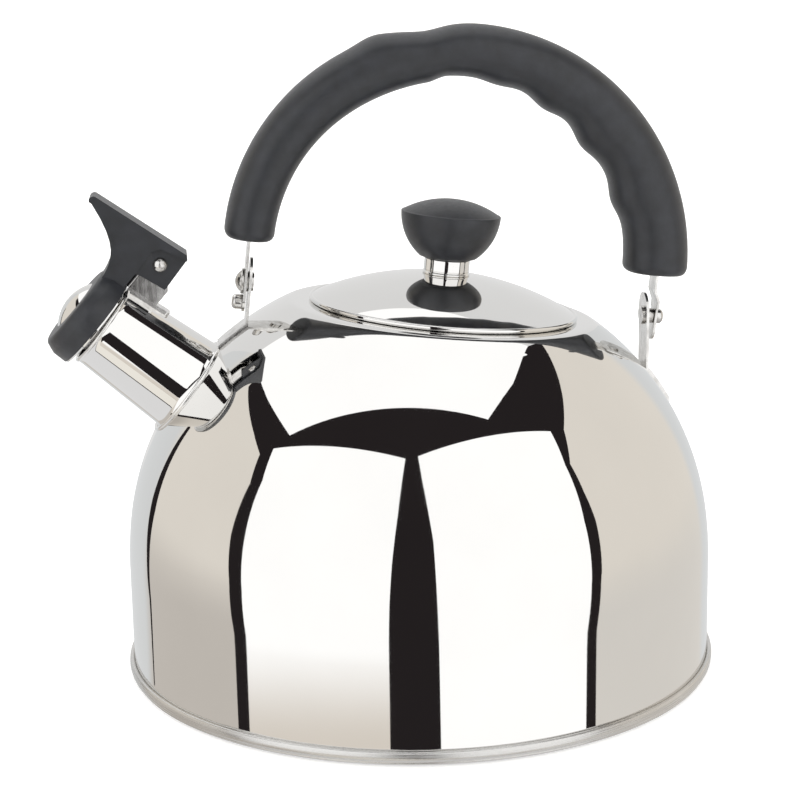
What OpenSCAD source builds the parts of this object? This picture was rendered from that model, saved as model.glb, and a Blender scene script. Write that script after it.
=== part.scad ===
// Stovetop whistling kettle, about 3 litres, in millimetres.
// Origin: centre of the base on the ground. +Z is up, the spout points to -X.
// The lid, its seat and the handle lean a few degrees away from the spout.

/* [Body] */
// Radius of the body wall
wall_r = 103.3; // [90:0.1:115]
// Height at which the wall starts to curve in
wall_top = 38; // [30:1:45]
// Radius of the first, gentle curve of the shoulder
ease_r = 134; // [120:1:150]
// Angle that the gentle curve takes up
ease_angle = 6.5; // [4:0.5:9]
// Radius of the shoulder
shoulder_r = 98; // [92:1:100]
// Angle at which the shoulder meets the crown
shoulder_angle = 71.4; // [68:0.1:74]
// Sheet thickness of the body, the spout and the lid
sheet = 0.8; // [0.6:0.1:1]

/* [Base] */
// Radius of the seam ring round the base
rim_r = 105; // [100:0.1:110]
// Height of the seam ring
rim_h = 5.2; // [4:0.1:7]

/* [Lid] */
// How far the lid's centre stands away from the body's axis
deck_x = 10.1; // [8:0.1:12]
// Height of the lid's rim at its centre
deck_z = 127.5; // [126:0.1:129]
// Lean of the lid and its seat, in degrees
deck_lean = 5.7; // [4:0.1:7]
// Radius of the lid's rim
lid_r = 47.2; // [45:0.1:48]
// Rise of the lid's crown above its rim
lid_rise = 11.6; // [10:0.1:14]
// Radius of the neck that the lid's skirt drops into
neck_r = 43.6; // [42:0.1:44]

/* [Knob] */
// Radius of the knob at its crease
knob_r = 17.4; // [15:0.1:20]
// Radius of the metal ferrule under the knob
ferrule_r = 8; // [6:0.1:9]

/* [Spout] */
// Rise of the whistle cap's axis above the horizontal
spout_rise = 41.5; // [35:0.5:48]
// Radius of the spout at the body
spout_root_r = 17.2; // [15:0.1:18]
// Radius of the spout at its mouth
spout_mouth_r = 15.1; // [13:0.1:16]
// Length of the spout along its axis
spout_len = 36.2; // [32:0.1:40]
// Radius of the whistle cap's disc
cap_r = 17.4; // [16:0.1:19]
// Thickness of the whistle cap's disc
cap_t = 9.4; // [8:0.1:11]

/* [Handle] */
// Height of the middle of the hinge line
yoke_z = 130.1; // [128:0.1:132]
// Lean of the hinge line, in degrees
yoke_lean = 7.1; // [6:0.1:8]
// Half the depth of the grip, front to back
grip_half = 11.6; // [9:0.1:13]
// Thickness of the hanger and strap plates
plate_t = 0.9; // [0.7:0.1:1.2]
// Radius of the hinge rivets' shanks
rivet_r = 1.7; // [1.5:0.1:2]

/* [Hidden] */
$fn = 96;

eps = 0.01;
fit = 0.05;              // running clearance on a radius
steel = "gainsboro";
dull_steel = "darkgray";
bakelite = "#3c3d40";
aluminium = "silver";
brass = "goldenrod";

// Points of an arc about c from angle a0 to a1, in n steps
function arc(c, r, a0, a1, n) =
    [for (i = [0:n]) let (a = a0 + (a1 - a0) * i / n) [c[0] + r * cos(a), c[1] + r * sin(a)]];
function clamp01(x) = max(0, min(1, x));
function ease(x) = let (t = clamp01(x)) t * t * (3 - 2 * t);
function bell(x, w) = exp(-(x * x) / (w * w));

// ---- Body outline: wall, gentle curve, shoulder and crown, all tangent
floor_z = 1.6;
ease_c = [wall_r - ease_r, wall_top];
shoulder_c = ease_c + (ease_r - shoulder_r) * [cos(ease_angle), sin(ease_angle)];
crown_r = shoulder_r + shoulder_c[0] / cos(shoulder_angle);
crown_c = [0, shoulder_c[1] - shoulder_c[0] * tan(shoulder_angle)];

// The solid inside the body's outer surface, grown outward by g
module body_solid(g = 0, bottom = floor_z) {
    rotate_extrude($fn = 144)
        polygon(concat(
            [[0, bottom], [wall_r + g, bottom]],
            arc(ease_c, ease_r + g, 0, ease_angle, 3),
            arc(shoulder_c, shoulder_r + g, ease_angle, shoulder_angle, 26),
            arc(crown_c, crown_r + g, shoulder_angle, 90, 8)
        ));
}

// ---- Frames
module deck() {
    translate([deck_x, 0, deck_z]) rotate([0, deck_lean, 0]) children();
}
yoke_x = 10.4;
module yoke() {
    translate([yoke_x, 0, yoke_z]) rotate([0, yoke_lean, 0]) children();
}
// Spout frame: +Z runs out along the spout, +X up across it
spout_at = [-81.6, 0, 102];
module spout() {
    translate(spout_at) rotate([0, spout_rise - 90, 0]) children();
}
// The spout's tube droops a little from the cap's axis, about its mouth
tube_droop = 2.66;
module tube() {
    spout() tube_in_cap() children();
}
module tube_in_cap() {
    translate([0, 0, spout_len]) rotate([0, -tube_droop, 0]) translate([0, 0, -spout_len]) children();
}
// A cylinder along +X from x0 to x1
module rod_x(r, x0, x1) {
    translate([x0, 0, 0]) rotate([0, 90, 0]) cylinder(r = r, h = x1 - x0, $fn = 48);
}
// A flat shape drawn as [x, z], given a thickness along Y about y = 0
module slab_y(t) {
    translate([0, t / 2, 0]) rotate([90, 0, 0]) linear_extrude(t) children();
}
module ring(r_out, r_in, z0, z1) {
    translate([0, 0, z0]) difference() {
        cylinder(r = r_out, h = z1 - z0);
        translate([0, 0, -1]) cylinder(r = r_in, h = z1 - z0 + 2);
    }
}
module torus(r, minor) {
    rotate_extrude() translate([r, 0]) circle(r = minor, $fn = 24);
}

// ---- Body
land_reach = 62;         // radius past the edge of the flat land under the lid's rim
seat_z = -0.95;          // level of the seat in the lid's frame
neck_h = 8;
spout_hole_r = 14.4;

module body_shell() color(steel) {
    difference() {
        body_solid();
        translate([0, 0, -1]) body_solid(-sheet, floor_z);
        translate([0, 0, floor_z - 2]) cylinder(r = wall_r - sheet, h = 4);
        deck() translate([0, 0, seat_z - sheet]) cylinder(r = land_reach, h = 60);
        tube() translate([0, 0, -15]) cylinder(r = spout_hole_r, h = 40);
    }
    // Flat land that the lid's edge rests on
    intersection() {
        body_solid();
        deck() ring(land_reach, neck_r, seat_z - sheet - eps, seat_z);
    }
    deck() ring(neck_r + sheet, neck_r, seat_z - neck_h, seat_z - eps);
}

pan_rise = 7;
module base_pan() color(dull_steel) {
    pan_r = wall_r - sheet - fit;
    translate([0, 0, floor_z]) cylinder(r = pan_r, h = sheet);
    ring(pan_r, pan_r - sheet, floor_z + eps, floor_z + pan_rise);
}

spreader_r = 97.4;
module heat_spreader() color(aluminium) {
    cylinder(r = spreader_r, h = floor_z - eps);
}

// Seam ring: an upright band round the wall and a lip under the pan
lip_in = 97.6;
lip_up = 0.5;
module base_rim() color(steel) {
    round_r = 1.2;
    in_r = wall_r + eps;
    rotate_extrude($fn = 144)
        difference() {
            union() {
                translate([lip_in, lip_up]) square([rim_r - round_r - lip_in, rim_h - lip_up]);
                translate([lip_in, lip_up + round_r]) square([rim_r - lip_in, rim_h - lip_up - 2 * round_r]);
                translate([rim_r - round_r, rim_h - round_r]) circle(r = round_r, $fn = 32);
                translate([rim_r - round_r, lip_up + round_r]) circle(r = round_r, $fn = 32);
            }
            translate([lip_in - 1, floor_z - eps]) square([in_r - lip_in + 1, rim_h]);
        }
}

// ---- Spout
flare_r = 0.6;           // flare where the spout meets the body
flare_end = 2;
spout_in = -6;           // the tube starts inside the wall
mouth_lip = 0.7;         // radius of the rolled lip at the mouth
function spout_r(s) = spout_root_r + (spout_mouth_r - spout_root_r) * s / spout_len;

module spout_tube() color(steel) {
    difference() {
        tube() rotate_extrude() {
            polygon([
                [spout_r(spout_in) - sheet, spout_in], [spout_r(spout_in), spout_in],
                [spout_mouth_r, spout_len], [spout_mouth_r - sheet, spout_len]
            ]);
            translate([spout_mouth_r - sheet + mouth_lip, spout_len - mouth_lip])
                circle(r = mouth_lip, $fn = 24);
            polygon([
                [spout_r(spout_in) - sheet, spout_in], [spout_root_r + flare_r, spout_in],
                [spout_root_r + flare_r, -1], [spout_r(flare_end), flare_end]
            ]);
        }
        body_solid();
    }
}

// Bead where the spout's flange lies on the body, square to the shoulder there
collar_rise = 38;
collar_r = 18.4;
collar_up = 1.3;         // the bead sits a little high of the cap's axis
collar_minor = 0.75;
module collar() {
    translate(spout_at) rotate([0, collar_rise - 90, 0]) translate([collar_up, 0, 0]) children();
}
module spout_collar() color(steel) {
    difference() {
        collar() torus(collar_r, collar_minor);
        body_solid();
        tube() translate([0, 0, spout_in]) cylinder(r = spout_root_r + flare_r + eps, h = 30);
    }
}

// ---- Handle hangers, straps and rivets, in the hinge line's frame
plate_left = -67.85;     // inner face of the left hanger plate
plate_right_x = 82.2;    // world X of the upright right plate's middle
strap_left_x = -70.3;    // outer face of the left strap
strap_right_x = 75.4;    // inner face of the right strap at its hinge
hanger_w = 12;
strap_w = 9;
spacer_r = 2.6;
head_r = 3.7;
foot_t = 1.1;

// A plate face drawn as [y, z], rounded at the top, given a thickness along +X from x0
module plate_x(x0, t, w, z0, z1) {
    translate([x0, 0, 0]) rotate([90, 0, 90]) linear_extrude(t) {
        translate([-w / 2, z0]) square([w, z1 - w / 2 - z0]);
        translate([0, z1 - w / 2]) circle(r = w / 2, $fn = 48);
    }
}
// A strip of the body's surface, x0 to x1 wide along X, lying on the shoulder
module foot(x0, x1) {
    intersection() {
        difference() {
            body_solid(foot_t);
            body_solid(eps);
        }
        translate([min(x0, x1), -hanger_w / 2, 60]) cube([abs(x1 - x0), hanger_w, 90]);
    }
}

module hanger_left() color(steel) {
    difference() {
        union() {
            yoke() plate_x(plate_left - plate_t, plate_t, hanger_w, -26, 8.6);
            foot(-73, -59);
        }
        body_solid();
        yoke() rod_x(rivet_r, -90, -60);
        // The foot's end follows the spout's collar
        collar() translate([0, 0, -10]) cylinder(r = collar_r + collar_minor + eps, h = 30);
    }
}

module hanger_right() color(steel) {
    difference() {
        union() {
            translate([plate_right_x, 0, 0]) plate_x(-plate_t / 2, plate_t, hanger_w, 92, 129.4);
            foot(81.9, 90.4);
        }
        body_solid();
        yoke() rod_x(rivet_r, 60, 90);
    }
}

inner_head_r = 3.3;
inner_head_t = 0.9;
washer_t = 0.9;
module rivet_left() color(steel) {
    yoke() {
        rod_x(rivet_r, strap_left_x - fit - washer_t - eps, plate_left + eps);
        rod_x(inner_head_r, plate_left, plate_left + inner_head_t);
        dome_h = 2.1;
        dome_r = (head_r * head_r + dome_h * dome_h) / (2 * dome_h);
        face = strap_left_x - fit - washer_t;
        intersection() {
            translate([face + dome_r - dome_h, 0, 0]) sphere(r = dome_r);
            rod_x(head_r, face - dome_h - 1, face);
        }
    }
}

bullet_r = 2.6;
module bullet(x0, way, length = 2.6) {
    round_r = 1.4;
    translate([x0, 0, 0]) rotate([0, 90 * way, 0]) rotate_extrude() {
        square([bullet_r, length - round_r]);
        square([bullet_r - round_r, length]);
        intersection() {
            translate([bullet_r - round_r, length - round_r]) circle(r = round_r, $fn = 32);
            square([bullet_r, length]);
        }
    }
}

module rivet_right() color(steel) {
    head_x = strap_right_x + plate_t + fit;
    yoke() {
        rod_x(rivet_r, 71.2, head_x + eps);
        bullet(head_x, 1);
    }
    intersection() {
        yoke() rod_x(inner_head_r, 68, 74);
        translate([plate_right_x - plate_t / 2 - inner_head_t, -10, 100]) cube([inner_head_t, 20, 40]);
    }
}

module spacer_left() color(steel) {
    yoke() difference() {
        rod_x(head_r - 0.1, strap_left_x + plate_t + fit, plate_left - plate_t);
        rod_x(rivet_r, -90, -60);
    }
}

module spacer_right() color(steel) {
    difference() {
        yoke() rod_x(spacer_r, 68, strap_right_x - fit);
        yoke() rod_x(rivet_r, 60, 90);
        translate([plate_right_x + plate_t / 2 - 20, -10, 100]) cube([20, 20, 40]);
    }
}

module head_washer_left() color(dull_steel) {
    yoke() difference() {
        rod_x(4.4, strap_left_x - fit - washer_t, strap_left_x - fit);
        rod_x(rivet_r, -90, -60);
    }
}

grip_at = [0.4, 14];     // centre of the grip's arc in the hinge frame, as [x, z]
grip_end_left = 15;      // levels of the grip's two ends
grip_end_right = 15.5;
tang = 15;               // length of strap held inside the grip
tail_drop = 10.6;
stud_drop = 7.3;
module strap_left() color(steel) {
    yoke() difference() {
        rotate([180, 0, 0])
            plate_x(strap_left_x, plate_t, strap_w, -grip_end_left - tang, tail_drop);
        rod_x(rivet_r + fit, -90, -60);
        translate([0, 0, -stud_drop]) rod_x(rivet_r - 0.4, -90, -60);
    }
}

// The right strap steps outward below the grip to clear its hanger
joggle = 1.7;
module strap_right() color(steel) {
    top_x = strap_right_x - joggle;
    narrow_w = 7;
    yoke() difference() {
        union() {
            slab_y(strap_w) polygon([
                [top_x, grip_end_right + tang], [top_x, 9.5],
                [strap_right_x, 5.5], [strap_right_x, 3], [strap_right_x + plate_t, 3],
                [strap_right_x + plate_t, 5.5 + plate_t / 3],
                [top_x + plate_t, 9.5 + plate_t / 3], [top_x + plate_t, grip_end_right + tang]
            ]);
            rotate([180, 0, 0]) plate_x(strap_right_x, plate_t, narrow_w, -4, 8.4);
        }
        rod_x(rivet_r + fit, 60, 90);
    }
}

module stop_stud() color(steel) {
    yoke() translate([0, 0, -stud_drop]) {
        bullet(strap_left_x, -1, 3.6);
        rod_x(rivet_r - 0.4, strap_left_x - eps, strap_left_x + plate_t);
    }
}

// ---- Grip: a section swept round an arc, with a thumb hollow and finger waves
bumps = [[81, 1.2], [64, 2.1], [46, 2.1], [24.6, 2.1]];  // ridges between the fingers: angle, height
bump_w = 6;
palm = 0.8;              // extra thickness behind the middle fingers
heel = 1.65;             // extra thickness that ends at the first finger's hollow
thumb_deep = 1.4;
crest_h = 1.1;           // crest that the thumb's hollow starts from
function sum(v, i = 0) = i >= len(v) ? 0 : v[i] + sum(v, i + 1);
function outer_right(a) = 82.25 + 2.6 * cos(a) - sin(a);
function outer_left(a) = 77 - 2 * cos(a) + 2.6 * sin(a);
function grip_outer(a) =
    let (k = ease((a - 88) / 24))
    outer_right(a) * (1 - k) + outer_left(a) * k
    - thumb_deep * bell(a - 102.5, 5.5) + crest_h * bell(a - 115.5, 4.5);
function grip_inner(a) =
    62.1 + 1.1 * sin(a) - 0.4 * clamp01((a - 90) / 90)
    - sum([for (b = bumps) b[1] * bell(a - b[0], bump_w)])
    - palm * bell(a - 44, 13) - heel * bell(a - 110, 32) * ease((a - 97) / 7);

grip_sides = 24;
grip_steps = 60;
squareness = 2.3;
end_round = 3;
function power(x) = sign(x) * pow(abs(x), 2 / squareness);
a_right = asin((grip_end_right - grip_at[1]) / 73);
a_left = 180 - asin((grip_end_left - grip_at[1]) / 70);
// How much the section draws in at distance d from an end
function draw_in(d) = d >= end_round ? 0 : end_round - sqrt(end_round * end_round - pow(end_round - d, 2));
function grip_ring(a) =
    let (
        d = min(a - a_right, a_left - a) * PI / 180 * 72,
        inset = draw_in(max(d, 0)) * 0.75,
        mid = (grip_outer(a) + grip_inner(a)) / 2,
        half = (grip_outer(a) - grip_inner(a)) / 2 - inset,
        deep = grip_half - 0.7 * pow(cos(a), 2) - inset
    )
    [for (j = [0:grip_sides - 1])
        let (b = 360 * j / grip_sides, r = mid + half * power(cos(b)))
        [grip_at[0] + r * cos(a), deep * power(sin(b)), grip_at[1] + r * sin(a)]];
// Rings crowd towards the two ends, where the edge is rounded
function grip_angle(i) =
    let (span = a_left - a_right, edge = end_round / 72 * 180 / PI)
    i < 4 ? a_right + edge * pow(i / 4, 1.6)
    : i > grip_steps - 4 ? a_left - edge * pow((grip_steps - i) / 4, 1.6)
    : a_right + edge + (span - 2 * edge) * (i - 4) / (grip_steps - 8);

module grip_solid() {
    rings = [for (i = [0:grip_steps]) each grip_ring(grip_angle(i))];
    last = grip_steps * grip_sides;
    polyhedron(rings, concat(
        [[for (j = [0:grip_sides - 1]) j]],
        [for (i = [0:grip_steps - 1], j = [0:grip_sides - 1])
            let (k = (j + 1) % grip_sides, p = i * grip_sides, q = p + grip_sides)
            each [[p + j, q + j, q + k], [p + j, q + k, p + k]]],
        [[for (j = [grip_sides - 1:-1:0]) last + j]]
    ));
}

module grip() color(bakelite) {
    slot_w = strap_w + 2 * eps;
    yoke() difference() {
        grip_solid();
        translate([strap_left_x - eps, -slot_w / 2, 8])
            cube([plate_t + 2 * eps, slot_w, grip_end_left + tang - 8 + eps]);
        translate([strap_right_x - joggle - eps, -slot_w / 2, 8])
            cube([plate_t + 2 * eps, slot_w, grip_end_right + tang - 8 + eps]);
    }
}

// ---- Lid
lid_ball = (lid_r * lid_r + lid_rise * lid_rise) / (2 * lid_rise);
bead_r = 0.9;
skirt_r = 42.9;
screw_r = 2;
module lid_sphere(inset) {
    translate([0, 0, lid_rise - lid_ball]) sphere(r = lid_ball - inset, $fn = 144);
}

module lid_shell() color(steel) {
    deck() difference() {
        intersection() {
            lid_sphere(0);
            translate([0, 0, -2]) cylinder(r = lid_r - bead_r, h = lid_rise + 4);
        }
        lid_sphere(sheet);
        cylinder(r = screw_r + 0.1, h = 30);
    }
}

// Rolled wire edge of the lid
module lid_bead() color(steel) {
    deck() difference() {
        torus(lid_r - bead_r, bead_r);
        translate([0, 0, -3]) cylinder(r = lid_r - bead_r + eps, h = 6);
    }
}

skirt_h = 7;
module lid_skirt() color(dull_steel) {
    deck() intersection() {
        ring(skirt_r, skirt_r - sheet, -skirt_h, 12);
        lid_sphere(sheet + eps);
    }
}

ferrule_top = 16.9;
module knob_ferrule() color(steel) {
    deck() difference() {
        union() {
            translate([0, 0, 10]) cylinder(r = ferrule_r, h = ferrule_top - 10);
            translate([0, 0, lid_rise + 0.1]) torus(ferrule_r - 0.1, 0.45);
        }
        lid_sphere(-eps);
        cylinder(r = screw_r + 0.1, h = 30);
    }
}

// Knob: a bowl that flares to a crease, under a low domed top
crease_z = 32.4;
knob_top = 37.5;
knob_rise = knob_top - crease_z;
knob_ball = (knob_r * knob_r + knob_rise * knob_rise) / (2 * knob_rise);
insert_r = 4;
insert_h = 11;
bowl_r = 20;             // radius of the bowl's side curve
module knob() color(bakelite) {
    side_c = [knob_r - bowl_r, crease_z + 0.5];
    start = -asin((side_c[1] - ferrule_top) / bowl_r);
    deck() difference() {
        rotate_extrude() polygon(concat(
            [[0, ferrule_top]],
            arc(side_c, bowl_r, start, -2, 14),
            arc([0, knob_top - knob_ball], knob_ball, acos((knob_r - 0.4) / knob_ball), 90, 10)
        ));
        translate([0, 0, ferrule_top - 1]) cylinder(r = insert_r, h = insert_h + 1);
    }
}

module knob_insert() color(brass) {
    deck() difference() {
        translate([0, 0, ferrule_top + eps]) cylinder(r = insert_r - eps, h = insert_h - 2 * eps);
        translate([0, 0, ferrule_top - 1]) cylinder(r = screw_r, h = insert_h - 1);
    }
}

under_lid = lid_rise - sheet;
washer_h = 1.4;
module knob_washer() color(steel) {
    deck() ring(5, screw_r + 0.1, under_lid - washer_h, under_lid - 0.15);
}

screw_head_r = 3.6;
module knob_screw() color(steel) {
    head_z = under_lid - washer_h;
    deck() difference() {
        union() {
            translate([0, 0, head_z - eps]) cylinder(r = screw_r - eps, h = ferrule_top + 8 - head_z);
            intersection() {
                translate([0, 0, head_z - eps - 2.2]) cylinder(r = screw_head_r, h = 2.2);
                translate([0, 0, head_z + 2]) sphere(r = 4.8);
            }
        }
        for (turn = [0, 90]) rotate([0, 0, turn])
            translate([-2.2, -0.4, head_z - 4]) cube([4.4, 0.8, 2.8]);
    }
}

// ---- Whistle cap and its lever, in the spout's frame
cap_z = 37.8;            // back face of the disc along the spout
cap_x = -0.8;            // the disc sits a little low of the spout's axis
hinge = [29, 33.9];      // hinge rivet, as [across, along]
lever_w = 13;
slot_half = 4;
lever_top = [37.5, 29.1];
lever_tip = [33.7, 65.5];

module cap_disc() {
    edge = 2.2;
    front = cap_z + cap_t;
    translate([cap_x, 0, 0]) rotate_extrude() {
        polygon(concat(
            [[0, front], [0, cap_z], [cap_r, cap_z], [cap_r, front - 4.5]],
            arc([cap_r - 1.1 - edge, front - edge], edge, 20, 90, 8)
        ));
    }
}

module lever_side() {
    polygon(concat(
        [lever_top, lever_top - [1.2, 1.2], [23.3, 27.2], [21.8, 36.8], [21.2, 38.6], [6, 38.6], [8, 46]],
        [for (t = [0:0.125:1]) [15.2 + 15.6 * pow(t, 1.05), 46.8 + 3 * t + 15 * pow(t, 3)]],
        arc([lever_tip[0] - 1.75, lever_tip[1] - 0.6], 1.6, 140, 20, 5)
    ));
}

module cap_lever() color(bakelite) {
    spout() difference() {
        union() {
            cap_disc();
            slab_y(lever_w) lever_side();
        }
        // Slot for the bracket, and shallow pockets round the rivet
        translate([10, -slot_half, 20]) cube([24.5, 2 * slot_half, 19.4]);
        for (side = [-1, 1])
            translate([14, side * (lever_w / 2 + 1) - pocket_t / 2, 24]) pocket();
        translate([hinge[0], 0, hinge[1]]) rotate([90, 0, 0])
            cylinder(r = rivet_r + fit, h = 40, center = true);
        translate([cap_x, 0, cap_z - 1]) cylinder(r = chamber_r, h = cap_t + 3);
    }
}
pocket_t = 5.2;
module pocket() {
    translate([0, pocket_t, 0]) rotate([90, 0, 0]) linear_extrude(pocket_t)
        polygon([[21.8, -1], [21.6, 6], [19.4, 13.6], [16.6, 15.2], [7, 14.4], [5, 14.4], [5, -1]]);
}

chamber_r = 9.4;
plug_r = 11;
flange_t = 0.8;
module whistle_flange() color(steel) {
    spout() translate([cap_x, 0, 0]) difference() {
        translate([0, 0, cap_z - flange_t]) cylinder(r = cap_r - 0.3, h = flange_t - eps);
        translate([0, 0, cap_z - 3]) cylinder(r = 2.2, h = 6);
        translate([cap_r - 3.4, -lever_w, cap_z - 3]) cube([10, 2 * lever_w, 6]);
    }
}

// Cup that plugs the mouth and carries the whistle's inner hole
module whistle_cup() color(dull_steel) {
    spout() difference() {
        translate([0, 0, cap_z - 3.2]) cylinder(r = plug_r, h = 3.2 - flange_t - eps);
        translate([0, 0, cap_z - 2.6]) cylinder(r = plug_r - 0.8, h = 3);
        translate([0, 0, cap_z - 5]) cylinder(r = 2.2, h = 4);
    }
}

module whistle_dome() color(steel) {
    bulge = 3.2;
    dome_r = (chamber_r * chamber_r + bulge * bulge) / (2 * bulge);
    front = cap_z + cap_t;
    spout() translate([cap_x, 0, 0]) {
        difference() {
            intersection() {
                translate([0, 0, front - dome_r + bulge]) sphere(r = dome_r);
                translate([0, 0, front - 0.5]) cylinder(r = chamber_r - eps, h = 10);
            }
            translate([0, 0, front - dome_r + bulge]) sphere(r = dome_r - 0.6);
            cylinder(r = 1.3, h = 80);
        }
        ring(chamber_r - eps, chamber_r - 0.6, cap_z + eps, front - 0.45);
    }
}

bracket_half = 3.6;
bracket_t = 0.9;
bracket_foot = 26;       // rear end of the bracket's sides
tab_end = 20.5;          // rear end of the rounded tab on the spout
fold_r = 2;              // bend between the bracket's front and its sides
fold_z = 38.9 - fold_r;
ear_r = 2.9;             // round of the ears about the rivet
// Level of the tube's top across the cap's axis, at the length z along it
tube_taper = 3.5;        // slope of the tube's side to its own axis
tube_end = [15, 38];     // level and length at the tube's front
function tube_top(z) = tube_end[0] + (tube_end[1] - z) * tan(tube_droop + tube_taper);

// Strip on the spout that the bracket stands on, with a rounded tab
module bracket_base() color(steel) {
    round_r = 1.2;
    spout() difference() {
        intersection() {
            slab_y(20) polygon([
                [tube_top(tab_end) - 1, tab_end], [tube_top(tab_end) + bracket_t, tab_end],
                [tube_top(fold_z) + bracket_t, fold_z], [tube_top(fold_z) - 1, fold_z]
            ]);
            translate([10, 0, 0]) rotate([90, 0, 90]) linear_extrude(10) hull() {
                for (side = [-1, 1])
                    translate([side * (bracket_half - round_r), tab_end + round_r]) circle(r = round_r, $fn = 24);
                translate([-bracket_half, fold_z - 1]) square([2 * bracket_half, 1]);
            }
        }
        tube_in_cap() rotate_extrude() {
            polygon([
                [0, -10], [spout_r(-10) + eps, -10], [spout_mouth_r + eps, spout_len],
                [spout_mouth_r + eps, 60], [0, 60]
            ]);
            translate([0, spout_len - 1.6]) square([spout_mouth_r - sheet + 2 * mouth_lip + eps, 2]);
        }
    }
}

// Folded strip: two sides with ears, and a front
module cap_bracket() color(steel) {
    front_foot = tube_top(fold_z) + bracket_t + eps;
    spout() difference() {
        union() {
            for (side = [-1, 1])
                translate([0, side * (bracket_half - bracket_t / 2), 0]) slab_y(bracket_t) {
                    polygon([
                        [tube_top(bracket_foot) + bracket_t + eps, bracket_foot],
                        [front_foot, fold_z], [22, fold_z], [29, 36.8], [29, 31], [23.4, bracket_foot]
                    ]);
                    translate(hinge) circle(r = ear_r, $fn = 48);
                }
            translate([front_foot, 0, 0]) rotate([90, 0, 90]) linear_extrude(22 - front_foot) difference() {
                hull() for (side = [-1, 1])
                    translate([side * (bracket_half - fold_r), fold_z]) circle(r = fold_r, $fn = 48);
                hull() for (side = [-1, 1])
                    translate([side * (bracket_half - fold_r), fold_z]) circle(r = fold_r - bracket_t, $fn = 48);
                translate([-5, 30]) square([10, fold_z - 30]);
            }
        }
        translate([hinge[0], 0, hinge[1]]) rotate([90, 0, 0])
            cylinder(r = rivet_r, h = 40, center = true);
    }
}

pocket_face = lever_w / 2 - 1.6;
module cap_rivet() color(steel) {
    spout() translate([hinge[0], 0, hinge[1]]) rotate([90, 0, 0]) {
        cylinder(r = rivet_r, h = 2 * pocket_face + 0.2, center = true);
        for (side = [0, 180]) rotate([side, 0, 0]) intersection() {
            translate([0, 0, pocket_face + fit]) cylinder(r = 2.65, h = 3);
            translate([0, 0, pocket_face + fit - 1.1]) sphere(r = 2.87);
        }
    }
}

// Torsion spring on the rivet, between the bracket's ears
spring_wire = 0.45;
spring_turns = 4;
module cap_spring() color(dull_steel) {
    spout() translate([hinge[0], 0, hinge[1]]) rotate([90, 0, 0]) rotate_extrude()
        for (i = [0:spring_turns - 1])
            translate([rivet_r + spring_wire + 0.2, (i - (spring_turns - 1) / 2) * 1.9 * spring_wire])
                circle(r = spring_wire, $fn = 24);
}

body_shell();
base_pan();
heat_spreader();
base_rim();
spout_tube();
spout_collar();
hanger_left();
hanger_right();
rivet_left();
rivet_right();
spacer_left();
spacer_right();
head_washer_left();
strap_left();
strap_right();
stop_stud();
grip();
lid_shell();
lid_skirt();
lid_bead();
knob();
knob_insert();
knob_ferrule();
knob_screw();
knob_washer();
cap_lever();
whistle_flange();
whistle_dome();
whistle_cup();
cap_bracket();
bracket_base();
cap_rivet();
cap_spring();
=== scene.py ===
"""Looks of a stovetop whistling kettle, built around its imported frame.

Lengths are in millimetres inside the shape functions and become metres when
a mesh is made. Each piece rides on the body of the node that it stands for.
"""

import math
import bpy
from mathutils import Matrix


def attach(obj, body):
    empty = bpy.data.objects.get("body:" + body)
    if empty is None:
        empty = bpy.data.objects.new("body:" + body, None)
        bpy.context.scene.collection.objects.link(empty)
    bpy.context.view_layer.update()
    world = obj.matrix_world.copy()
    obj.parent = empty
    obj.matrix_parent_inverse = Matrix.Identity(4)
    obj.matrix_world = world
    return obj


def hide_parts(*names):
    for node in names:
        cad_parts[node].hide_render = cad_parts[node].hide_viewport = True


bl_info = {
    "name": "Whistling kettle",
    "version": (1, 0, 0),
    "blender": (4, 5, 0),
    "location": "3D View > Sidebar > Kettle",
    "description": "Builds the skin, finishes and studio of a whistling kettle",
    "category": "Object",
}

import bmesh
import bpy
import numpy as np
from mathutils import Matrix, Vector

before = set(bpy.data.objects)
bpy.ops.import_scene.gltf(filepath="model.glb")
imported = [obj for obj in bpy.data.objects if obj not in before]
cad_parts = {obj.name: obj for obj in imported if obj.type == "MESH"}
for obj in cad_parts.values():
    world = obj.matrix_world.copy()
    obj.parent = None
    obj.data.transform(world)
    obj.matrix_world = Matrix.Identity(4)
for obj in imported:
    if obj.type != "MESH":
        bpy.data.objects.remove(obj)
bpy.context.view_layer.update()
MM = 0.001

# ---- Sizes that the pieces share with the frame, in millimetres
WALL_R, WALL_TOP = 103.3, 38.0
EASE_R, EASE_ANGLE = 134.0, math.radians(6.5)
SHOULDER_R, SHOULDER_ANGLE = 98.0, math.radians(71.4)
EASE_C = np.array([WALL_R - EASE_R, WALL_TOP])
SHOULDER_C = EASE_C + (EASE_R - SHOULDER_R) * np.array(
    [math.cos(EASE_ANGLE), math.sin(EASE_ANGLE)]
)
CROWN_R = SHOULDER_R + SHOULDER_C[0] / math.cos(SHOULDER_ANGLE)
CROWN_Z = SHOULDER_C[1] - SHOULDER_C[0] * math.tan(SHOULDER_ANGLE)
FLOOR_Z = 1.6
TOP_EDGE_R = 75  # where the body's top and its side are joined

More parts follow.
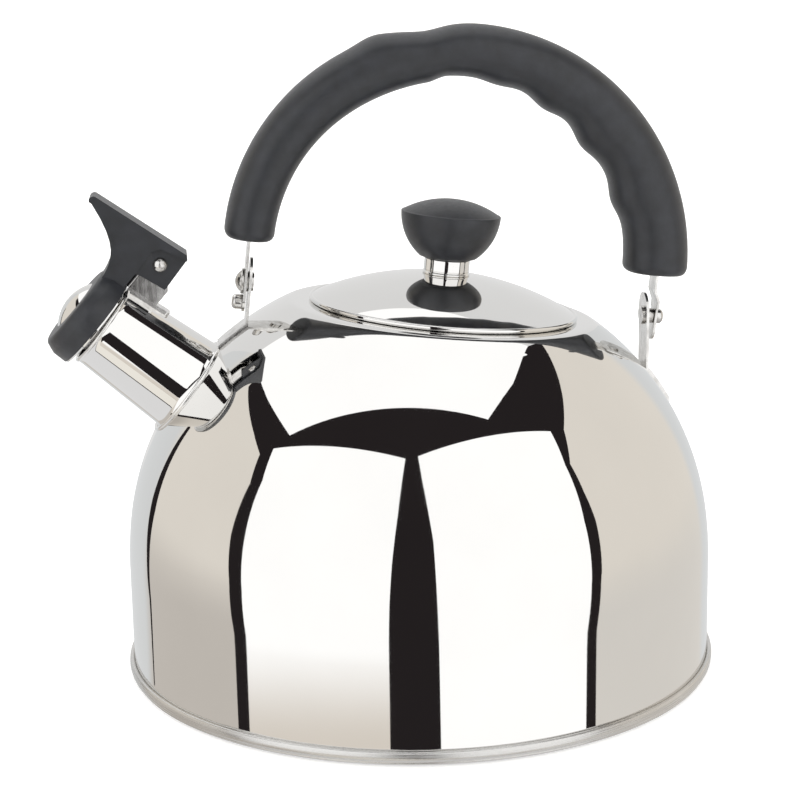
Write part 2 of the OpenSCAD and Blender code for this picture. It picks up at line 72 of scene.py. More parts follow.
DECK_AT, DECK_LEAN = (10.1, 0.0, 127.5), math.radians(5.7)
YOKE_AT, YOKE_LEAN = (10.4, 0.0, 130.1), math.radians(7.1)
SPOUT_AT, SPOUT_LEAN = (-81.6, 0.0, 102.0), math.radians(41.5 - 90)
COLLAR_LEAN = math.radians(38 - 90)
LID_R, LID_RISE = 47.2, 11.6
LID_BALL = (LID_R**2 + LID_RISE**2) / (2 * LID_RISE)
NECK_R, SEAT_Z, NECK_H = 43.6, -0.95, 8.0
SPOUT_ROOT_R, SPOUT_MOUTH_R, SPOUT_LEN = 17.2, 15.1, 36.2
SPOUT_HOLE_R, HOLE_SPAN = 14.4, (-15, 25)
CAP_X, CAP_FRONT = -0.8, 47.2
SHEET = 0.8
COLLAR_R, COLLAR_UP = 18.4, 1.3

# The spout's tube droops from the cap's axis, about the middle of its mouth
TUBE_DROOP = math.radians(2.66)
TUBE_LEAN = SPOUT_LEAN - TUBE_DROOP
TUBE_AT = tuple(
    a + SPOUT_LEN * (cap - tube)
    for a, cap, tube in zip(
        SPOUT_AT,
        (math.sin(SPOUT_LEAN), 0.0, math.cos(SPOUT_LEAN)),
        (math.sin(TUBE_LEAN), 0.0, math.cos(TUBE_LEAN)),
    )
)


# ---- Shapes
def place(points, at, lean):
    """Points of a leaning part, set in the kettle's frame.

    The part's own x and z turn about y by the lean, then move to at.
    """
    c, s = math.cos(lean), math.sin(lean)
    x, y, z = points[..., 0], points[..., 1], points[..., 2]
    return np.stack([x * c + z * s, y, z * c - x * s], -1) + np.array(at)


def arc(centre, radius, start, end, count):
    """count points of a circle about centre, from start to end degrees."""
    a = np.radians(np.linspace(start, end, count))
    return np.stack(
        [centre[0] + radius * np.cos(a), centre[1] + radius * np.sin(a)], -1
    )


def line(start, end, count):
    """count points of a straight line, both ends among them."""
    t = np.linspace(0, 1, count)[:, None]
    return np.array(start) * (1 - t) + np.array(end) * t


def turned(profile, count, at=(0, 0, 0), lean=0.0):
    """Grid of a turned part: x = r cos a, y = r sin a, z from the profile."""
    a = np.linspace(0, 2 * math.pi, count, endpoint=False)
    r, z = profile[:, :1], profile[:, 1:]
    grid = np.stack([r * np.cos(a), r * np.sin(a), z + 0 * a], -1)
    return place(grid, at, lean)


def skin(name, grid, loop=False, sharp=40.0):
    """Closed mesh over a grid of points in millimetres.

    Every row is a closed ring, and each is joined to the next. With loop the
    last row joins the first. Otherwise a fan about its middle closes each
    end row. Faces are turned outwards by the sign of the enclosed volume.
    """
    rows, cols = grid.shape[:2]
    index = np.arange(rows * cols).reshape(rows, cols)
    low = index if loop else index[:-1]
    high = np.roll(index, -1, 0) if loop else index[1:]
    quads = np.stack([low, high, np.roll(high, -1, 1), np.roll(low, -1, 1)], -1)
    quads = quads.reshape(-1, 4)
    points = grid.reshape(-1, 3) * MM
    fans = np.zeros((0, 3), int)
    if not loop:
        middles = grid[[0, -1]].mean(1) * MM
        points = np.concatenate([points, middles])
        first, last, n = index[0], index[-1], rows * cols
        fans = np.concatenate(
            [
                np.stack([first, np.roll(first, -1), np.full(cols, n)], -1),
                np.stack([np.roll(last, -1), last, np.full(cols, n + 1)], -1),
            ]
        )
    tris = np.concatenate([quads[:, [0, 1, 2]], quads[:, [0, 2, 3]], fans])
    a, b, c = points[tris[:, 0]], points[tris[:, 1]], points[tris[:, 2]]
    if (a * np.cross(b, c)).sum() < 0:
        quads, fans = quads[:, ::-1], fans[:, ::-1]
    mesh = bpy.data.meshes.new(name)
    mesh.from_pydata(points.tolist(), [], quads.tolist() + fans.tolist())
    return finished(name, mesh, sharp)


def finished(name, mesh, sharp):
    """Object of a mesh, smooth but for edges sharper than sharp degrees."""
    mesh.validate()
    mesh.shade_smooth()
    mesh.set_sharp_from_angle(angle=math.radians(sharp))
    obj = bpy.data.objects.new(name, mesh)
    bpy.context.scene.collection.objects.link(obj)
    return obj


def eased(name, node, width, sharp=32.0):
    """A node's own shape with its corners taken off.

    A copy of the node's mesh has its doubles merged and its flat faces made
    whole, and a small bevel rounds every edge sharper than sharp degrees.
    """
    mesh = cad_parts[node].data.copy()
    mesh.materials.clear()
    work = bmesh.new()
    work.from_mesh(mesh)
    bmesh.ops.remove_doubles(work, verts=work.verts, dist=1e-6)
    bmesh.ops.dissolve_limit(
        work, angle_limit=math.radians(0.4), verts=work.verts, edges=work.edges
    )
    work.to_mesh(mesh)
    work.free()
    obj = finished(name, mesh, sharp)
    bevel = obj.modifiers.new("Eased corners", "BEVEL")
    bevel.width, bevel.segments = width * MM, 3
    bevel.limit_method, bevel.angle_limit = "ANGLE", math.radians(sharp)
    bevel.harden_normals = False
    return obj


def settle(obj, body, nodes, finish):
    """The piece rides on its body, stands for nodes and gets its finish."""
    obj.data.materials.clear()
    obj.data.materials.append(finish)
    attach(obj, body)
    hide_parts(*nodes)
    return obj


# ---- Finishes
def linear(colour):
    """Linear RGBA of an sRGB hex colour such as d8d7d4."""
    parts = np.array([int(colour[i : i + 2], 16) for i in (0, 2, 4)]) / 255
    low, high = parts / 12.92, ((parts + 0.055) / 1.055) ** 2.4
    return (*np.where(parts <= 0.04045, low, high).tolist(), 1.0)


def add(tree, kind, values=None, links=None, **settings):
    """Adds a node with its settings, socket values and incoming links."""
    node = tree.nodes.new(kind)
    for key, value in settings.items():
        setattr(node, key, value)
    for key, value in (values or {}).items():
        node.inputs[key].default_value = value
    for key, source in (links or {}).items():
        tree.links.new(source, node.inputs[key])
    return node


def per_metre(millimetres):
    """Noise scale whose features are about that many millimetres wide."""
    return 1 / (millimetres * MM)


def new_finish(name, **values):
    """An empty finish: its tree, its shader and its object coordinates."""
    finish = bpy.data.materials.new(name)
    finish.use_nodes = True
    tree = finish.node_tree
    tree.nodes.clear()
    shader = add(tree, "ShaderNodeBsdfPrincipled", values)
    output = add(tree, "ShaderNodeOutputMaterial")
    tree.links.new(shader.outputs["BSDF"], output.inputs["Surface"])
    coords = add(tree, "ShaderNodeTexCoord").outputs["Object"]
    return finish, tree, shader, coords


def vary(tree, coords, size, low, high, detail=3.0):
    """A number that drifts between low and high over patches of size mm."""
    noise = add(
        tree,
        "ShaderNodeTexNoise",
        {"Scale": per_metre(size), "Detail": detail},
        {"Vector": coords},
    )
    spread = add(
        tree,
        "ShaderNodeMapRange",
        {"From Min": 0.3, "From Max": 0.7, "To Min": low, "To Max": high},
        {"Value": noise.outputs["Fac"]},
    )
    return spread.outputs["Result"]


def tint(tree, factor, dark, light):
    """A colour between two, each a hex colour or another node's output."""
    mix = add(tree, "ShaderNodeMix", data_type="RGBA")
    for end, colour in (("A", dark), ("B", light)):
        if isinstance(colour, str):
            mix.inputs[end].default_value = linear(colour)
        else:
            tree.links.new(colour, mix.inputs[end])
    tree.links.new(factor, mix.inputs["Factor"])
    return mix.outputs["Result"]


def round_axis(tree, coords, turns, run):
    """Coordinates for lines that run round the upright axis.

    The angle about the axis is squeezed, so a noise read there draws long
    thin marks: turns is marks per turn, run the line spacing in mm.
    """
    split = add(tree, "ShaderNodeSeparateXYZ", links={"Vector": coords}).outputs
    angle = add(
        tree,
        "ShaderNodeMath",
        links={0: split["Y"], 1: split["X"]},
        operation="ARCTAN2",
    )
    flat = add(
        tree, "ShaderNodeCombineXYZ", links={"X": split["X"], "Y": split["Y"]}
    )
    radius = add(
        tree,
        "ShaderNodeVectorMath",
        links={0: flat.outputs["Vector"]},
        operation="LENGTH",
    )
    scaled = [
        add(
            tree, "ShaderNodeMath", {1: factor}, {0: source}, operation="MULTIPLY"
        ).outputs["Value"]
        for source, factor in (
            (angle.outputs["Value"], turns / (2 * math.pi)),
            (radius.outputs["Value"], per_metre(run)),
            (split["Z"], per_metre(run)),
        )
    ]
    joined = add(
        tree,
        "ShaderNodeCombineXYZ",
        links={"X": scaled[0], "Y": scaled[1], "Z": scaled[2]},
    )
    return joined.outputs["Vector"]


def bumped(tree, shader, height, strength, depth):
    """Links a height, depth mm tall, to the shader as a bump."""
    bump = add(
        tree,
        "ShaderNodeBump",
        {"Strength": strength, "Distance": depth * MM},
        {"Height": height},
    )
    tree.links.new(bump.outputs["Normal"], shader.inputs["Normal"])


def polished_steel(dark, light):
    """Stainless steel sheet, spun and mirror buffed.

    Buffing leaves it a mirror with a slight haze that drifts over patches a
    few centimetres wide, and spinning leaves the faintest swell.
    """
    finish, tree, shader, coords = new_finish(
        "mirror_buffed_stainless_steel", Metallic=1.0
    )
    tree.links.new(
        tint(tree, vary(tree, coords, 35, 0, 1), dark, light),
        shader.inputs["Base Color"],
    )
    tree.links.new(
        vary(tree, coords, 24, 0.014, 0.036), shader.inputs["Roughness"]
    )
    bumped(tree, shader, vary(tree, coords, 60, 0, 1, 0.0), 0.25, 0.05)
    return finish


def satin_steel(dark, light):
    """Stainless steel band, brushed on a wheel as it turned.

    The marks run round the band a fraction of a millimetre apart.
    """
    finish, tree, shader, coords = new_finish(
        "wheel_brushed_stainless_steel", Metallic=1.0, Anisotropic=0.4
    )
    marks = round_axis(tree, coords, 40, 0.5)
    noise = add(
        tree, "ShaderNodeTexNoise", {"Scale": 1.0, "Detail": 4.0}, {"Vector": marks}
    ).outputs["Fac"]
    tree.links.new(tint(tree, noise, dark, light), shader.inputs["Base Color"])
    rough = add(
        tree,
        "ShaderNodeMapRange",
        {"From Min": 0.3, "From Max": 0.7, "To Min": 0.2, "To Max": 0.34},
        {"Value": noise},
    )
    tree.links.new(rough.outputs["Result"], shader.inputs["Roughness"])
    bumped(tree, shader, noise, 0.15, 0.02)
    return finish


def drawn_steel(name, dark, light, low, high, stretch=(1.0, 1.0, 0.08)):
    """Stainless steel strip or wire with fine lines along its length.

    Rolling and stamping leave straight marks and a few dull patches.
    """
    finish, tree, shader, coords = new_finish(name, Metallic=1.0)
    along = add(
        tree, "ShaderNodeMapping", {"Scale": stretch}, {"Vector": coords}
    ).outputs["Vector"]
    lines = vary(tree, along, 0.35, 0, 1, 4.0)
    tree.links.new(
        tint(tree, vary(tree, coords, 3, 0, 1), dark, light),
        shader.inputs["Base Color"],
    )
    tree.links.new(
        vary(tree, along, 0.8, low, high), shader.inputs["Roughness"]
    )
    bumped(tree, shader, lines, 0.05, 0.02)
    return finish


def bakelite(dark, light):
    """Phenolic moulding with a fine matt texture from its mould.

    The grain is about a third of a millimetre, and the resin's colour drifts
    a little from charcoal to a bluer grey.
    """
    finish, tree, shader, coords = new_finish(
        "moulded_phenolic", **{"IOR": 1.55, "Sheen Weight": 0.05}
    )
    tree.links.new(
        tint(tree, vary(tree, coords, 5, 0, 1, 5.0), dark, light),
        shader.inputs["Base Color"],
    )
    tree.links.new(
        vary(tree, coords, 1.5, 0.36, 0.46), shader.inputs["Roughness"]
    )
    bumped(tree, shader, vary(tree, coords, 0.35, 0, 1, 2.0), 0.35, 0.03)
    return finish


def turned_metal(name, dark, light, low, high):
    """Aluminium or brass cut on a lathe: fine rings and a soft sheen."""
    finish, tree, shader, coords = new_finish(name, Metallic=1.0)
    rings = vary(tree, round_axis(tree, coords, 6, 0.4), 1000, 0, 1)
    tree.links.new(tint(tree, rings, dark, light), shader.inputs["Base Color"])
    tree.links.new(
        vary(tree, coords, 6, low, high), shader.inputs["Roughness"]
    )
    bumped(tree, shader, rings, 0.2, 0.02)
    return finish


# ---- Outlines
def body_outline(offset=0.0, counts=(60, 8, 8)):
    """Side of the body, from its top edge to 3 mm above the ground.

    It is the shoulder's arc, then the gentle arc, then the upright wall,
    each tangent to the next and moved outwards by offset.
    """
    start = math.degrees(math.acos((TOP_EDGE_R - SHOULDER_C[0]) / SHOULDER_R))
    ease = math.degrees(EASE_ANGLE)
    return np.concatenate(
        [
            arc(SHOULDER_C, SHOULDER_R + offset, start, ease, counts[0]),
            arc(EASE_C, EASE_R + offset, ease, 0, counts[1])[1:],
            line([WALL_R + offset, WALL_TOP], [WALL_R + offset, 3], counts[2])[1:],
        ]
    )


def dome_height(r):
    """Height of the body's dome at radius r: shoulder arc, then crown arc."""
    edge = SHOULDER_C[0] + SHOULDER_R * math.cos(SHOULDER_ANGLE)
    shoulder = SHOULDER_C[1] + np.sqrt(
        np.maximum(SHOULDER_R**2 - (r - SHOULDER_C[0]) ** 2, 0)
    )
    crown = CROWN_Z + np.sqrt(np.maximum(CROWN_R**2 - r**2, 0))
    return np.where(r > edge, shoulder, crown)


def body_top(columns, rows, sink=0.0):
    """Upper part of the body, from the lid's seat out to its top edge.

    Rings grow from the neck's circle about the lid's axis to a circle about
    the body's. Height is the lower of the dome and the flat leaning land,
    with the crease between them eased over about a millimetre.
    """
    a = np.linspace(0, 2 * math.pi, columns, endpoint=False)
    t = np.linspace(0, 1, rows)[:, None] ** 1.15
    inner_r = NECK_R + 1.0
    inner = place(
        np.stack([inner_r * np.cos(a), inner_r * np.sin(a), 0 * a + SEAT_Z], -1),
        DECK_AT,
        DECK_LEAN,
    )
    x = inner[:, 0] * (1 - t) + TOP_EDGE_R * np.cos(a) * t
    y = inner[:, 1] * (1 - t) + TOP_EDGE_R * np.sin(a) * t
    dome = dome_height(np.hypot(x, y)) - sink
    land = (
        DECK_AT[2]
        + (SEAT_Z - sink) / math.cos(DECK_LEAN)
        - (x - DECK_AT[0]) * math.tan(DECK_LEAN)
    )
    gap = dome - land
    z = (dome + land - np.sqrt(gap**2 + 0.5 * (1 - t) ** 0.5)) / 2
    z = np.where(gap < -4, dome, z)
    return np.stack([x, y, z], -1)


def neck(columns, radii):
    """Rings in the lid's frame, each a (radius, level) pair."""
    return turned(np.array(radii), columns, DECK_AT, DECK_LEAN)


def make_body():
    """Sheet of the body: outside, rim, inside and neck as one closed loop."""
    columns = 288
    outside, inside = body_outline(), body_outline(-SHEET, (20, 4, 4))
    sides = turned(outside, columns)
    inner = turned(inside[::-1], columns)
    top = body_top(columns, 84)
    under = body_top(columns, 24, SHEET)[::-1]
    bottom = turned(np.array([[WALL_R, FLOOR_Z], [WALL_R - SHEET, FLOOR_Z]]), columns)
    lip = neck(
        columns,
        [
            (NECK_R + SHEET, SEAT_Z - 2 * SHEET),
            (NECK_R + SHEET, SEAT_Z - NECK_H),
            (NECK_R, SEAT_Z - NECK_H),
            (NECK_R, SEAT_Z - 1.0),
            (NECK_R + 0.12, SEAT_Z - 0.4),
            (NECK_R + 0.45, SEAT_Z - 0.1),
        ],
    )
    grid = np.concatenate([top[:-1], sides, bottom, inner, under[1:], lip])
    return skin("body_skin", grid, loop=True, sharp=50)


def bore(obj, radius, start, end):
    """Cuts the spout's round hole through a sheet, then drops the cutter."""
    ring = line([radius, start], [radius, end], 2)
    cutter = skin("spout_cutter", turned(ring, 96, TUBE_AT, TUBE_LEAN))
    cut = obj.modifiers.new("Spout hole", "BOOLEAN")
    cut.operation, cut.object, cut.solver = "DIFFERENCE", cutter, "EXACT"
    bpy.context.view_layer.update()
    graph = bpy.context.evaluated_depsgraph_get()
    mesh = bpy.data.meshes.new_from_object(obj.evaluated_get(graph))
    obj.modifiers.clear()
    old, obj.data = obj.data, mesh
    bpy.data.meshes.remove(old)
    bpy.data.objects.remove(cutter)
    mesh.shade_smooth()
    mesh.set_sharp_from_angle(angle=math.radians(50))
    return obj


def shoulder_gap(points):
    """Distance of points outside the body's shoulder, in millimetres."""
    r = np.hypot(points[..., 0], points[..., 1]) - SHOULDER_C[0]
    return np.hypot(r, points[..., 2] - SHOULDER_C[1]) - SHOULDER_R


def spout_radius(s):
    """Radius of the spout's cone at the length s along its axis."""
    return SPOUT_ROOT_R + (SPOUT_MOUTH_R - SPOUT_ROOT_R) * s / SPOUT_LEN


def root_of(angle, offset):
    """Length along the spout at which its cone meets the shoulder.

    For each angle about the spout the crossing is closed in on by halving.
    """
    low, high = np.full_like(angle, -16.0), np.full_like(angle, 16.0)
    for _ in range(40):
        s = (low + high) / 2
        r = spout_radius(s) + offset
        points = np.stack([r * np.cos(angle), r * np.sin(angle), s], -1)
        out = shoulder_gap(place(points, TUBE_AT, TUBE_LEAN)) > 0
        low, high = np.where(out, low, s), np.where(out, s, high)
    return (low + high) / 2


def make_spout():
    """Conical spout: flared foot on the body, rolled lip at the mouth.

    A row of the grid is a ring at a share t of the way from the foot to the
    mouth. The foot widens by 0.6 mm in a quarter turn over its last 2 mm.
    """
    columns, flare, reach, thick, lip = 160, 0.6, 2.0, SHEET, 0.7
    a = np.linspace(0, 2 * math.pi, columns, endpoint=False)
    foot_out, foot_in = root_of(a, flare), root_of(a, -thick)

    def ring(s, extra):
        """Circle about the spout's axis, extra mm outside the cone."""
        r = spout_radius(s) + extra
        return np.stack([r * np.cos(a), r * np.sin(a), s + 0 * a], -1)

    rows = []
    for quarter in np.radians(np.linspace(0, 90, 10)):
        s = foot_out + reach * math.sin(quarter)
        rows.append(ring(s, flare * (1 - math.sin(quarter)) ** 1.6))
    start = foot_out + reach
    end = SPOUT_LEN - lip - 1.2
    for t in np.linspace(0, 1, 40)[1:]:
        rows.append(ring(start + (end - start) * t, 0))
    for turn in np.radians(np.linspace(-70, 200, 16)):
        s = SPOUT_LEN - lip + lip * math.sin(turn)
        rows.append(ring(s, lip * math.cos(turn) - thick + lip))
    for t in np.linspace(1, 0, 14)[1:]:
        rows.append(ring(foot_in + (SPOUT_LEN - 2 - foot_in) * t, -thick))
    grid = place(np.array(rows), TUBE_AT, TUBE_LEAN)
    return skin("spout_skin", grid, loop=True, sharp=45)


def make_collar(minor):
    """Bead round the spout's foot that lies on the body all the way round.

    Its centre line is a circle in the collar's leaning plane, pushed along
    the shoulder's radius until it lies on the surface, and the section is a
    small circle about that line.
    """
    a = np.linspace(0, 2 * math.pi, 192, endpoint=False)
    circle = np.stack(
        [COLLAR_UP + COLLAR_R * np.cos(a), COLLAR_R * np.sin(a), 0 * a], -1
    )
    circle = place(circle, SPOUT_AT, COLLAR_LEAN)
    flat = np.hypot(circle[:, 0], circle[:, 1])
    hub = np.stack(
        [
            circle[:, 0] / flat * SHOULDER_C[0],
            circle[:, 1] / flat * SHOULDER_C[0],
            0 * flat + SHOULDER_C[1],
        ],
        -1,
    )
    out = circle - hub
    out /= np.linalg.norm(out, axis=1, keepdims=True)
    centre = hub + out * (SHOULDER_R + 0.2 * minor)
    along = np.roll(centre, -1, 0) - np.roll(centre, 1, 0)
    along /= np.linalg.norm(along, axis=1, keepdims=True)
    side = np.cross(along, out)
    b = np.linspace(0, 2 * math.pi, 24, endpoint=False)[:, None, None]
    grid = centre + minor * (np.cos(b) * side + np.sin(b) * out)
    return skin("spout_bead", grid, loop=True)


def make_rim():
    """Rolled seam ring: a crowned band over a narrow turned-in lip."""
    outline = np.concatenate(
        [
            line([97.6, 0.5], [103.2, 0.5], 6),
            arc([103.4, 1.3], 0.8, -90, 20, 8),
            arc([104.35, 1.75], 0.18, -150, -250, 5),
            arc([100.2, 3.35], 4.8, -17, 14, 14),
            arc([104.05, 4.4], 0.8, 30, 90, 7),
            line([103.7, 5.2], [103.32, 4.9], 3),
            line([103.32, 1.6], [97.6, 1.6], 4),
        ]
    )
    return skin("base_seam_ring", turned(outline, 288), loop=True, sharp=60)


def make_lid(bead):
    """Pressed lid: a low dome that ends in a rolled wire edge."""
    centre_z, edge_r = LID_RISE - LID_BALL, LID_R - bead
    start = math.degrees(math.acos(2.1 / LID_BALL))
    end = math.degrees(math.acos((edge_r - 0.52) / LID_BALL))
    low = math.degrees(math.acos((edge_r - 0.6) / (LID_BALL - SHEET)))
    outline = np.concatenate(
        [
            arc([0, centre_z], LID_BALL, start, end, 48),
            arc([edge_r, 0], bead, 122, -175, 26),
            arc([0, centre_z], LID_BALL - SHEET, low, start, 24),
        ]
    )
    return skin(
        "lid_skin", turned(outline, 240, DECK_AT, DECK_LEAN), loop=True, sharp=38
    )


def make_knob():
    """Turned knob: a bowl that flares to a crease, under a low domed top."""
    crease_r, rise = 17.4, 5.1
    ball = (crease_r**2 + rise**2) / (2 * rise)
    outline = np.concatenate(
        [
            line([0.4, 16.9], [8.3, 16.9], 6),
            arc([8.4, 18.0], 1.1, -90, -52, 6),
            arc([-2.6, 32.9], 20, -51, -4, 36),
            arc([17.05, 32.35], 0.35, -4, 56, 6),
            arc([0, 37.5 - ball], ball, 58.4, 89.4, 30),
        ]
    )
    return skin("knob_skin", turned(outline, 160, DECK_AT, DECK_LEAN), sharp=60)


def make_ferrule():
    """Turned sleeve under the knob, with a beaded foot and a fine groove."""
    outline = np.concatenate(
        [
            line([2.1, 10.9], [7.6, 10.9], 3),
            arc([7.9, 11.75], 0.45, -80, 75, 9),
            arc([8.05, 12.35], 0.14, -90, -180, 4),
            line([8.0, 12.6], [8.0, 16.3], 8),
            arc([7.5, 16.35], 0.5, 0, 90, 6),
            line([7.0, 16.85], [2.1, 16.85], 3),
        ]
    )
    return skin(
        "knob_sleeve", turned(outline, 96, DECK_AT, DECK_LEAN), loop=True, sharp=50
    )


def ease(x):
    """Smooth step from 0 to 1."""
    t = np.clip(x, 0, 1)
    return t * t * (3 - 2 * t)


def bell(x, width):
    """Smooth bump, 1 at the middle, e to the minus one at width."""
    return np.exp(-(x * x) / (width * width))


def make_grip(wave, thumb):
    """Arched grip: a rounded section carried round an arc.

    The outer edge is a near circle that shifts its centre over the top,
    dips by thumb for the thumb and rises again in a crest. The inner edge
    has a ridge between each two fingers, wave high, a swell for the palm and
    a heel by the spout. The section is a superellipse of power 2.3, and
    both ends draw in by a rounded corner.
    """
    start = math.degrees(math.asin(1.5 / 73))
    end = 180 - math.degrees(math.asin(1 / 70))
    corner = 3.0
    near = corner / 72 * 180 / math.pi
    crowd = near * np.linspace(0, 1, 12) ** 1.8
    angles = np.concatenate(
        [
            start + crowd,
            np.linspace(start + near, end - near, 220)[1:-1],
            (end - crowd)[::-1],
        ]
    )
    d = angles[:, None]
    a = np.radians(d)
    k = ease((d - 88) / 24)
    right = 82.25 + 2.6 * np.cos(a) - np.sin(a)
    left = 77 - 2 * np.cos(a) + 2.6 * np.sin(a)
    outer = right * (1 - k) + left * k
    outer += 1.1 * bell(d - 115.5, 4.5) - thumb * bell(d - 102.5, 5.5)
    inner = 62.1 + 1.1 * np.sin(a) - 0.4 * np.clip((d - 90) / 90, 0, 1)
    for ridge, share in ((81, 0.57), (64, 1), (46, 1), (24.6, 1)):
        inner -= share * wave * bell(d - ridge, 6)
    inner -= 0.8 * bell(d - 44, 13) + 1.65 * bell(d - 110, 32) * ease((d - 97) / 7)
    gap = np.minimum(d - start, end - d) * math.pi / 180 * 72
    gap = np.clip(gap, 0, corner)
    inset = 0.75 * (corner - np.sqrt(corner**2 - (corner - gap) ** 2))
    half = (outer - inner) / 2 - inset
    deep = 11.6 - 0.7 * np.cos(a) ** 2 - inset
    b = np.linspace(0, 2 * math.pi, 72, endpoint=False)
    power = 2 / 2.3
    across = np.sign(np.cos(b)) * np.abs(np.cos(b)) ** power
    depth = np.sign(np.sin(b)) * np.abs(np.sin(b)) ** power
    r = (outer + inner) / 2 + half * across
    grid = np.stack(
        [0.4 + r * np.cos(a), deep * depth, 14 + r * np.sin(a)], -1
    )
    return skin("grip_skin", place(grid, YOKE_AT, YOKE_LEAN), sharp=60)


def make_whistle():
    """Domed whistle plate with a rolled hole, on the cap's chamber tube."""
    bulge, edge, bore_r, back = 3.2, 9.39, 8.8, 37.81
    ball = (edge**2 + bulge**2) / (2 * bulge)
    centre = CAP_FRONT + bulge - ball
    start = math.degrees(math.asin(1.5 / ball))
    end = math.degrees(math.asin(edge / ball))
    outline = np.concatenate(
        [
            arc([0, centre], ball, 90 - start, 90 - end, 36),
            line([edge, CAP_FRONT - 0.3], [edge, back], 8),
            line([bore_r, back], [bore_r, 46.4], 8),
            arc([0, centre], ball - 0.6, 94 - end, 90 - start, 24),
            arc([1.6, centre + ball - 0.3], 0.3, -90, -270, 6)[1:-1],
        ]
    )
    grid = turned(outline, 128)
    grid[..., 0] += CAP_X
    return skin(
        "whistle_plate", place(grid, SPOUT_AT, SPOUT_LEAN), loop=True, sharp=45
    )


# ---- What a user would change
class KettleSizes(bpy.types.PropertyGroup):
    """Sizes of the kettle's pressed, rolled and moulded details."""

    bead: bpy.props.FloatProperty(
        name="Lid edge",
        description="Radius of the lid's rolled edge",
        default=0.9 * MM,
        min=0.5 * MM,
        unit="LENGTH",
    )
    collar: bpy.props.FloatProperty(
        name="Spout bead",
        description="Radius of the bead round the spout's foot",
        default=0.75 * MM,
        min=0.4 * MM,
        unit="LENGTH",
    )
    wave: bpy.props.FloatProperty(
        name="Finger ridge",
        description="Height of the ridges between the fingers",
        default=2.1 * MM,
        min=0.0,
        unit="LENGTH",
    )
    thumb: bpy.props.FloatProperty(
        name="Thumb hollow",
        description="Depth of the hollow on top of the grip",
        default=1.4 * MM,
        min=0.0,
        unit="LENGTH",
    )
    corner: bpy.props.FloatProperty(
        name="Corner",
        description="Radius taken off the corners of plates and straps",
        default=0.22 * MM,
        min=0.05 * MM,
        unit="LENGTH",
    )


class KettleColours(bpy.types.PropertyGroup):
    """Colours of the kettle's finishes, as sRGB hex values."""

    steel: bpy.props.StringProperty(
        name="Polished steel", description="Mirror sheet", default="e9e8e6"
    )
    steel_dark: bpy.props.StringProperty(
        name="Dull steel", description="Troughs of brushed steel", default="bdbbb8"
    )
    resin_dark: bpy.props.StringProperty(
        name="Resin, dark", description="Darkest part of the grip", default="1b1d21"
    )
    resin_light: bpy.props.StringProperty(
        name="Resin, light", description="Lightest part of the grip", default="24262c"
    )


class StudioSettings(bpy.types.PropertyGroup):
    """Brightness of the studio."""

    panel: bpy.props.FloatProperty(
        name="Panel",
        description="Radiance of the lit panels",
        default=1.25,
        min=0.0,
    )
    room: bpy.props.FloatProperty(
        name="Room",
        description="Radiance of the walls of the room",
        default=1.0,
        min=0.0,
    )


FINISHES = {}


class KETTLE_OT_finishes(bpy.types.Operator):
    """Makes the finishes and gives the hidden nodes theirs"""

    bl_idname = "kettle.finishes"
    bl_label = "Finishes"

    def execute(self, context):
        c = context.scene.kettle_colours
        FINISHES.update(
            polished=polished_steel("e6e5e3", c.steel),
            satin=satin_steel(c.steel_dark, c.steel),
            strip=drawn_steel(
                "rolled_strip_stainless_steel", "cac8c5", c.steel, 0.15, 0.23
            ),
            rivet=drawn_steel(
                "headed_rivet_steel", "a5a29e", c.steel, 0.12, 0.26, (1, 1, 1)
            ),
            spring=drawn_steel(
                "drawn_spring_wire", "77787a", "a9a9a8", 0.25, 0.4, (1, 0.1, 1)
            ),
            resin=bakelite(c.resin_dark, c.resin_light),
            aluminium=turned_metal(
                "spun_aluminium", "b4b6b8", "c9cbcc", 0.35, 0.5
            ),
            brass=turned_metal("turned_brass", "b08d43", "cda95a", 0.25, 0.35),
        )
        for node, finish in (
            ("base_pan", "satin"),
            ("heat_spreader", "aluminium"),
            ("lid_skirt", "satin"),
            ("knob_insert", "brass"),
            ("knob_screw", "rivet"),
            ("knob_washer", "strip"),
            ("whistle_cup", "satin"),
            ("cap_spring", "spring"),
        ):
            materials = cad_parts[node].data.materials
            materials.clear()
            materials.append(FINISHES[finish])
        return {"FINISHED"}


class KETTLE_OT_body(bpy.types.Operator):
    """Spun body with its seam ring"""

    bl_idname = "kettle.body"
    bl_label = "Body"

    def execute(self, context):
        body = bore(make_body(), SPOUT_HOLE_R, *HOLE_SPAN)
        steel, satin = FINISHES["polished"], FINISHES["satin"]
        settle(body, "kettle", ["body_shell"], steel)
        settle(make_rim(), "kettle", ["base_rim"], satin)
        return {"FINISHED"}


class KETTLE_OT_spout(bpy.types.Operator):
    """Spout with its bead"""

    bl_idname = "kettle.spout"
    bl_label = "Spout"

    def execute(self, context):
        sizes, steel = context.scene.kettle_sizes, FINISHES["polished"]
        bead = make_collar(sizes.collar / MM)
        settle(make_spout(), "kettle", ["spout_tube"], steel)
        settle(bead, "kettle", ["spout_collar"], steel)
        return {"FINISHED"}


class KETTLE_OT_lid(bpy.types.Operator):
    """Lid, knob and the sleeve under it"""

    bl_idname = "kettle.lid"
    bl_label = "Lid"

    def execute(self, context):
        steel = FINISHES["polished"]
        lid = make_lid(context.scene.kettle_sizes.bead / MM)
        settle(lid, "lid", ["lid_shell", "lid_bead"], steel)
        settle(make_knob(), "lid", ["knob"], FINISHES["resin"])
        settle(make_ferrule(), "lid", ["knob_ferrule"], steel)
        return {"FINISHED"}


class KETTLE_OT_grip(bpy.types.Operator):
    """Arched grip"""

    bl_idname = "kettle.grip"
    bl_label = "Grip"

    def execute(self, context):
        sizes = context.scene.kettle_sizes
        grip = make_grip(sizes.wave / MM, sizes.thumb / MM)
        settle(grip, "handle", ["grip"], FINISHES["resin"])
        return {"FINISHED"}


